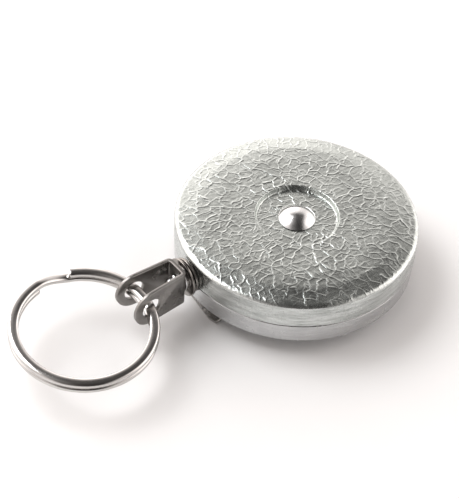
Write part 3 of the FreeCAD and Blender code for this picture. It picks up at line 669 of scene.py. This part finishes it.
def resampled(points, pitch):
    """Points at an even spacing along a line, with the distance of each from its start."""
    line = np.array([tuple(p) for p in points])
    lengths = np.concatenate([[0], np.cumsum(np.linalg.norm(np.diff(line, axis=0), axis=1))])
    count = int(lengths[-1] / pitch)
    even = np.linspace(0, lengths[-1], count + 1)
    return np.stack([np.interp(even, lengths, line[:, axis]) for axis in (0, 1)], 1), even


def even_swell(points):
    """Soft uneven surface of the plated steel, from 0 to 1."""
    chance = np.random.default_rng(SEED + 9)
    height = np.zeros(len(points))
    for _ in range(26):
        heading = chance.uniform(0, 2 * math.pi)
        wave = 2 * math.pi / chance.uniform(0.9, 2.6)
        ahead = wave * np.array([math.cos(heading), math.sin(heading)])
        height += np.sin(points @ ahead + chance.uniform(0, 2 * math.pi))
    return 0.5 + np.clip(height / 16, -0.5, 0.5)


def make_front_cover():
    """Pressed cover with raised veins over the top and rim, fading down the side."""
    line, along = resampled(cover_outline(), COVER_PITCH)
    tangent = np.gradient(line, axis=0)
    tangent /= np.linalg.norm(tangent, axis=1)[:, None]
    normal = np.stack([-tangent[:, 1], tangent[:, 0]], 1)
    turns = np.linspace(0, 2 * math.pi, COVER_STEPS, endpoint=False)
    spread = (line[0, 0] + along)[:, None] / MM
    unrolled = np.stack([spread * np.cos(turns), spread * np.sin(turns)], 2).reshape(-1, 2)
    veins = crackle_height(unrolled).reshape(len(line), COVER_STEPS)
    depth = (TOP_Z - line[:, 1]) / MM
    side_starts, side_takes, side_loss = 0.7, 0.5, 0.65
    side = np.clip((depth - side_starts) / side_takes, 0, 1) * (line[:, 0] > 0.8 * CASE_R)
    fade = (1 - side_loss * side)[:, None]
    swell = even_swell(unrolled).reshape(len(line), COVER_STEPS)
    lift = VEIN_RISE * fade * (veins - 1) + SWELL * (swell - 1)
    veins *= fade
    radius = line[:, 0][:, None] + normal[:, 0][:, None] * lift
    height = line[:, 1][:, None] + normal[:, 1][:, None] * lift
    outer = np.stack([radius * np.cos(turns), radius * np.sin(turns), height], 2).reshape(-1, 3)
    inner_line = [
        (CASE_R - 0.85 * MM, SEAM_Z), (CASE_R - 0.85 * MM, TOP_Z - 2.0 * MM),
        (CASE_R - 2.6 * MM, TOP_Z - 1.5 * MM), (11.0 * MM, TOP_Z - 0.95 * MM),
        (9.7 * MM, TOP_Z - 2.05 * MM), (SHANK_HOLE_R, TOP_Z - 2.05 * MM),
    ]
    inner = [
        (r * math.cos(t), r * math.sin(t), z) for r, z in inner_line for t in turns
    ]
    vertices = np.concatenate([outer, np.array(inner)])
    rows = len(line) + len(inner_line)
    index = np.arange(rows * COVER_STEPS).reshape(rows, COVER_STEPS)
    after = np.roll(index, -1, axis=1)
    faces = np.stack([index, after, np.roll(after, -1, axis=0), np.roll(index, -1, axis=0)], 2)
    faces = faces.reshape(-1, 4)
    piece = add_mesh("cover_shell", vertices, faces.tolist(), CRACKLE)
    mesh = piece.data
    walls = np.repeat(side, COVER_STEPS)
    for mark, known in (("vein", veins.ravel()), ("wall", walls)):
        values = np.zeros(len(mesh.vertices), np.float32)
        values[:known.size] = known
        mesh.attributes.new(mark, "FLOAT", "POINT").data.foreach_set("value", values)
    open_outlet(piece)
    mesh.set_sharp_from_angle(angle=math.radians(60))
    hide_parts("front_cover")
    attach(piece, "case")


def open_outlet(piece):
    """Clear the wall where the outlet eyelet passes through it."""
    eyelet_hole = 2.2 * MM
    wall_depth = 8 * MM
    back = PULL.inverted()
    doomed = []
    with reworked(piece.data) as work:
        for face in work.faces:
            spot = back @ face.calc_center_median()
            if -wall_depth < spot.x < 0 and math.hypot(spot.y, spot.z) < eyelet_hole:
                doomed.append(face)
        bmesh.ops.delete(work, geom=doomed, context="FACES")


def make_back_cover():
    """Lower shell: rounded bottom edge, side band with a rolled bead at the seam."""
    ledge = SEAM_Z - 0.15 * MM
    corners = [
        (SHANK_HOLE_R, CASE_Z, 0), (BAND_R - 0.35 * MM, CASE_Z, 0.3 * MM),
        (BAND_R, CASE_Z + 0.35 * MM, 0.35 * MM), (BAND_R, CASE_Z + 2.2 * MM, 0),
        (BAND_R, ledge - 0.2 * MM, 0.3 * MM), (BAND_R - 0.3 * MM, ledge, 0.12 * MM),
        (CASE_R - 1.0 * MM, ledge, 0.1 * MM), (CASE_R - 1.0 * MM, ledge + 2.7 * MM, 0.1 * MM),
        (CASE_R - 1.8 * MM, ledge + 2.7 * MM, 0.1 * MM), (CASE_R - 1.8 * MM, ledge - 0.8 * MM, 0.2 * MM),
        (BAND_R - 0.9 * MM, ledge - 1.0 * MM, 0.2 * MM), (BAND_R - 0.9 * MM, CASE_Z + 0.9 * MM, 0.3 * MM),
        (SHANK_HOLE_R, CASE_Z + 0.9 * MM, 0),
    ]
    outline = [tuple(p) for p in rounded_line(corners)]
    piece = lathe("back_shell", outline, BAND, steps=360)
    open_outlet(piece)
    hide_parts("back_cover")
    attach(piece, "case")


def make_center_rivet():
    """Domed head with a thin rim, and the shank and tail that clamp the case."""
    shank_r, tail_r, tail_z = 1.55 * MM, 3.2 * MM, rivet_low.z + 0.55 * MM
    steps = 18
    rise = rivet_high.z - DISH_Z
    ball = (RIVET_R ** 2 + rise ** 2) / (2 * rise)
    half = math.asin(RIVET_R * 0.985 / ball)
    dome = []
    for step in range(steps + 1):
        turn = half * (1 - step / steps)
        dome.append((ball * math.sin(turn), rivet_high.z - ball + ball * math.cos(turn)))
    foot = [
        (0, rivet_low.z), (3.05 * MM, rivet_low.z), (tail_r, rivet_low.z + 0.15 * MM),
        (tail_r, tail_z), (shank_r, tail_z),
        (shank_r, DISH_Z), (RIVET_R - 0.12 * MM, DISH_Z), (RIVET_R, DISH_Z + 0.1 * MM),
    ]
    piece = lathe("rivet_dome", foot + dome, RIVET, steps=128)
    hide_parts("center_rivet")
    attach(piece, "case")


# --- belt clip --------------------------------------------------------------------------------

def strip_solid(name, line, metal, half_width, material, tip_round=0.0):
    """Spring strip: a centre line of (x, z) thickened by the metal, with eased edges."""
    points = [Vector((x, z)) for x, z in line]
    across = np.concatenate([[-1.0], np.linspace(-0.985, 0.985, 9), [1.0]]) * half_width
    ease = 0.18 * metal
    vertices, faces = [], []
    rows = []
    for index, here in enumerate(points):
        before = points[max(index - 1, 0)]
        after = points[min(index + 1, len(points) - 1)]
        run = (after - before).normalized()
        normal = Vector((-run.y, run.x))
        row = []
        for side in (1, -1):
            for y in (across if side > 0 else across[::-1]):
                edge = abs(y) > 0.99 * half_width
                out = metal / 2 - (ease if edge else 0)
                spot = here + normal * side * out
                pull_in = tip_pull(points, index, y, half_width, tip_round)
                spot = spot - run * pull_in
                row.append(len(vertices))
                vertices.append((spot.x, y, spot.y))
        rows.append(row)
    for low, high in zip(rows, rows[1:]):
        for k in range(len(low)):
            after = (k + 1) % len(low)
            faces.append((low[k], low[after], high[after], high[k]))
    count = len(across)
    for row in (rows[0], rows[-1]):
        for k in range(count - 1):
            faces.append((row[k], row[k + 1], row[2 * count - 2 - k], row[2 * count - 1 - k]))
    piece = add_mesh(name, vertices, faces, material)
    settle_normals(piece, 40)
    return piece


def tip_pull(points, index, y, half_width, tip_round):
    """How far a point near the tip is drawn back, so that the tip's corners are round."""
    if tip_round <= 0:
        return 0.0
    to_tip = sum((b - a).length for a, b in zip(points[index:], points[index + 1:]))
    over = abs(y) - (half_width - tip_round)
    if over <= 0 or to_tip > tip_round * 1.5:
        return 0.0
    drawn = tip_round - math.sqrt(max(tip_round ** 2 - over ** 2, 0))
    return drawn * (1 - to_tip / (tip_round * 1.5))


def make_clip():
    """Plate riveted to the back, and the bend with the springy tongue."""
    metal = 0.9 * MM
    half = tongue_high.y
    bend_x = tongue_low.x - 0.2 * MM
    plate_z = CASE_Z - metal / 2
    steps = 24
    plate = [(bend_x + (clip_high.x - bend_x) * step / steps, plate_z) for step in range(steps + 1)]
    piece = strip_solid("clip_plate", plate, metal, half, CLIP)
    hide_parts("clip_base")
    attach(piece, "case")

    bend_r = (CASE_Z - metal) / 2
    bend_steps = 20
    bend = []
    for step in range(bend_steps):
        turn = math.pi / 2 + math.pi * step / bend_steps
        bend.append((bend_x + bend_r * math.cos(turn), CASE_Z / 2 + bend_r * math.sin(turn)))
    low = metal / 2
    crest = 2.1 * MM + low
    corners = [
        (bend_x, low, 0), (6 * MM, low, 14 * MM), (17.6 * MM, crest + 0.1 * MM, 5 * MM),
        (tongue_high.x - 0.1 * MM, low + 0.02 * MM, 0),
    ]
    tongue, _ = resampled(rounded_line(corners, steps=14), 0.5 * MM)
    line = bend + [tuple(p) for p in tongue]
    strip = strip_solid("clip_spring", line, metal, half, CLIP, 1.2 * MM)
    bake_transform(strip)
    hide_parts("clip_tongue")


# --- outlet and swivel ------------------------------------------------------------------------

def eased(corners, closed=True):
    return [tuple(p) for p in rounded_line(corners, closed=closed, steps=4)]


def make_outlet():
    """Flanged eyelet in the wall, and the washer and swivel that land on it."""
    eyelet = along_pull("outlet_flange", eased([
        (-6.35, 1.98, 0.1), (-6.35, 3.9, 0.2), (-5.85, 3.9, 0.2), (-5.85, 2.65, 0.1),
        (-2.7, 2.65, 0.1), (-2.7, 4.33, 0.15), (-2.05, 4.33, 0.2), (-2.0, 3.2, 0.4), (-2.0, 1.98, 0.05),
    ]), EYELET)
    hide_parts("outlet_eyelet")
    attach(eyelet, "case")

    washer = along_pull("stop_disc", eased([
        (-1.55, 0.62, 0.05), (-1.55, 4.73, 0.14), (-0.95, 4.73, 0.14), (-0.95, 0.62, 0.05),
    ]), EYELET)
    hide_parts("stop_washer")
    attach(washer, "fitting")

    swivel = along_pull("swivel_collar", eased([
        (-0.95, 0.62, 0.05), (-0.95, 3.0, 0.2), (-0.12, 3.0, 0.25), (-0.12, 1.64, 0.05),
        (1.02, 1.64, 0.05), (1.02, 1.98, 0.1), (1.35, 1.98, 0.35), (1.74, 1.7, 0.2), (1.74, 0.62, 0.1),
    ]), RIVET)
    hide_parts("swivel_eyelet")
    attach(swivel, "fitting")

    ferrule = along_pull("crimp_ferrule", eased([
        (1.75, 0.0, 0), (1.75, 1.3, 0.1), (2.3, 1.43, 0.8), (3.0, 1.2, 0.8), (3.53, 0.55, 0.5),
        (3.53, 0.0, 0),
    ], closed=False), RIVET, steps=48)
    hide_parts("cord_ferrule")
    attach(ferrule, "fitting")


# --- yoke -------------------------------------------------------------------------------------

def make_yoke():
    """Bent strip with leaning ears: round ends, a ring hole in each ear, eased edges."""
    metal, length, base, tip = 0.9 * MM, 14.7 * MM, 3.23 * MM, 4.08 * MM
    half = 4.6 * MM
    outer_r, inner_r = 1.1 * MM, 0.35 * MM
    ear_hole_r, swivel_hole_r = 2.5 * MM, 1.7 * MM
    end_steps = 48
    corners = [
        (0, -base, outer_r), (length, -tip, 0), (length, metal - tip, 0), (metal, metal - base, inner_r),
        (metal, base - metal, inner_r), (length, tip - metal, 0), (length, tip, 0), (0, base, outer_r),
    ]
    plan = [tuple(p) for p in rounded_line(corners, closed=True, steps=8)]
    piece = prism("yoke_bracket", plan, -half, half, "z", YOKE)
    round_x = length - half
    side = [(-MM, -half - 0.01 * MM), (round_x, -half - 0.01 * MM)]
    for step in range(1, end_steps):
        turn = -math.pi / 2 + math.pi * step / end_steps
        side.append((round_x + half * math.cos(turn), half * math.sin(turn)))
    side += [(round_x, half + 0.01 * MM), (-MM, half + 0.01 * MM)]
    carve(piece, prism("side_shape", side, -6 * MM, 6 * MM, "y"), "INTERSECT")
    carve(piece, prism("ear_hole", circle(HOLE_X, 0, ear_hole_r), -6 * MM, 6 * MM, "y"))
    carve(piece, prism("swivel_hole", circle(0, 0, swivel_hole_r), -MM, 2 * MM, "x"))
    soften_edges(piece, 0.13 * MM, 3)
    piece.data.transform(PULL)
    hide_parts("yoke")
    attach(piece, "yoke")


# --- split ring -------------------------------------------------------------------------------

RING_R = 16.8 * MM
RING_WIRE = 2.4 * MM
RING_COIL = 1.46 * MM
RING_GAP = 0.06 * MM
RING_X = 25.75 * MM
RING_ROLL = math.radians(-4)
RING_CUT = math.radians(-110.5)
RING_STEP = math.radians(28.5)


def wire_section():
    """Section of one coil as (radius, height) about its middle: a flattened round wire."""
    steps, squareness = 28, 0.72
    section = []
    for step in range(steps):
        turn = -2 * math.pi * step / steps
        wide, high = math.cos(turn), math.sin(turn)
        width = math.copysign(abs(wide) ** squareness, wide) * RING_WIRE / 2
        height = math.copysign(abs(high) ** squareness, high) * RING_COIL / 2
        section.append((width, height))
    return section


def make_split_ring():
    """One wire, two turns: the upper turn steps down between its own cut ends."""
    section = wire_section()
    count = len(section)
    middle_r = RING_R - RING_WIRE / 2
    level = (RING_COIL + RING_GAP) / 2
    turn_span = 2 * math.pi - RING_STEP
    total = 2 * turn_span + RING_STEP
    steps = 620
    vertices, faces = [], []
    for step in range(steps + 1):
        gone = total * step / steps
        part = min(max((gone - turn_span) / RING_STEP, 0.0), 1.0)
        drop = part * part * (3 - 2 * part)
        height = level * (1 - 2 * drop)
        angle = RING_CUT - gone
        trim = end_trim(step, steps)
        for width, rise in section:
            radius = middle_r + width * trim
            vertices.append((radius * math.cos(angle), radius * math.sin(angle), height + rise * trim))
    for step in range(steps):
        for k in range(count):
            after = (k + 1) % count
            row = step * count
            faces.append((row + k, row + after, row + count + after, row + count + k))
    faces.append(tuple(range(count)))
    faces.append(tuple(range(steps * count, (steps + 1) * count))[::-1])
    piece = add_mesh("key_ring", vertices, faces, RING)
    settle_normals(piece, 50)
    place = PULL @ Matrix.Translation((RING_X, 0, 0)) @ Matrix.Rotation(RING_ROLL, 4, "X")
    piece.data.transform(place)
    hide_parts("split_ring")
    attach(piece, "ring")


def end_trim(step, steps):
    """Slight rounding of the wire's two cut ends."""
    from_end = min(step, steps - step)
    return (0.70, 0.93, 1.0)[min(from_end, 2)]


# --- cord -------------------------------------------------------------------------------------

def tube(name, line, radius, material, sides=20):
    """Round tube along 3-D points."""
    points = [Vector(p) for p in line]
    vertices, faces = [], []
    for index, here in enumerate(points):
        run = (points[min(index + 1, len(points) - 1)] - points[max(index - 1, 0)]).normalized()
        across = run.cross(Vector((0, 0, 1))).normalized()
        up = across.cross(run)
        for side in range(sides):
            turn = 2 * math.pi * side / sides
            vertices.append(here + (across * math.cos(turn) + up * math.sin(turn)) * radius)
    for row in range(len(points) - 1):
        for side in range(sides):
            after = (side + 1) % sides
            faces.append((
                row * sides + side, row * sides + after,
                (row + 1) * sides + after, (row + 1) * sides + side,
            ))
    faces.append(tuple(range(sides))[::-1])
    faces.append(tuple(range((len(points) - 1) * sides, len(points) * sides)))
    piece = add_mesh(name, vertices, faces, material)
    settle_normals(piece, 60)
    return piece


def make_cord():
    """The run through the outlet, out to the fitting."""
    run_low, run_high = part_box("cord_outlet_run")
    radius = (run_high.z - run_low.z) / 2
    start_x, end_x, steps = -6.45 * MM, 1.75 * MM, 80
    line = [PULL @ Vector((start_x + (end_x - start_x) * step / steps, 0, 0)) for step in range(steps + 1)]
    drawn = tube("cord_drawn", line, radius, CORD)
    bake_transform(drawn)
    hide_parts("cord_outlet_run")


def make_power_spring():
    """The CAD spring in two pieces: its inner tab stays in the arbor, its coils turn with the drum."""
    node = frame["nodes"]["power_spring"]
    bpy.context.view_layer.update()
    edge, coil_r = 3.2 * MM, 3.3 * MM
    for name, body, is_tab in (("spring_tab", "case", True), ("spring_coils", "drum", False)):
        work = bmesh.new()
        work.from_mesh(node.data)
        work.transform(node.matrix_world)
        bmesh.ops.remove_doubles(work, verts=work.verts, dist=1e-7)
        whole = [*work.verts, *work.edges, *work.faces]
        bmesh.ops.bisect_plane(work, geom=whole, plane_co=(edge, 0, 0), plane_no=(1, 0, 0))
        doomed = []
        for face in work.faces:
            middle = face.calc_center_median()
            in_tab = middle.x < edge and math.hypot(middle.x, middle.y) < coil_r
            if in_tab != is_tab:
                doomed.append(face)
        bmesh.ops.delete(work, geom=doomed, context="FACES")
        bmesh.ops.holes_fill(work, edges=[e for e in work.edges if e.is_boundary])
        bmesh.ops.triangulate(work, faces=work.faces)
        mesh = bpy.data.meshes.new(name)
        work.to_mesh(mesh)
        work.free()
        mesh.materials.append(SPRING)
        piece = bpy.data.objects.new(name, mesh)
        bpy.context.scene.collection.objects.link(piece)
        settle_normals(piece, 35)
        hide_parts("power_spring")
        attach(piece, body)


paint_cad_nodes()
make_power_spring()
make_front_cover()
make_back_cover()
make_center_rivet()
make_clip()
make_outlet()
make_yoke()
make_split_ring()
make_cord()
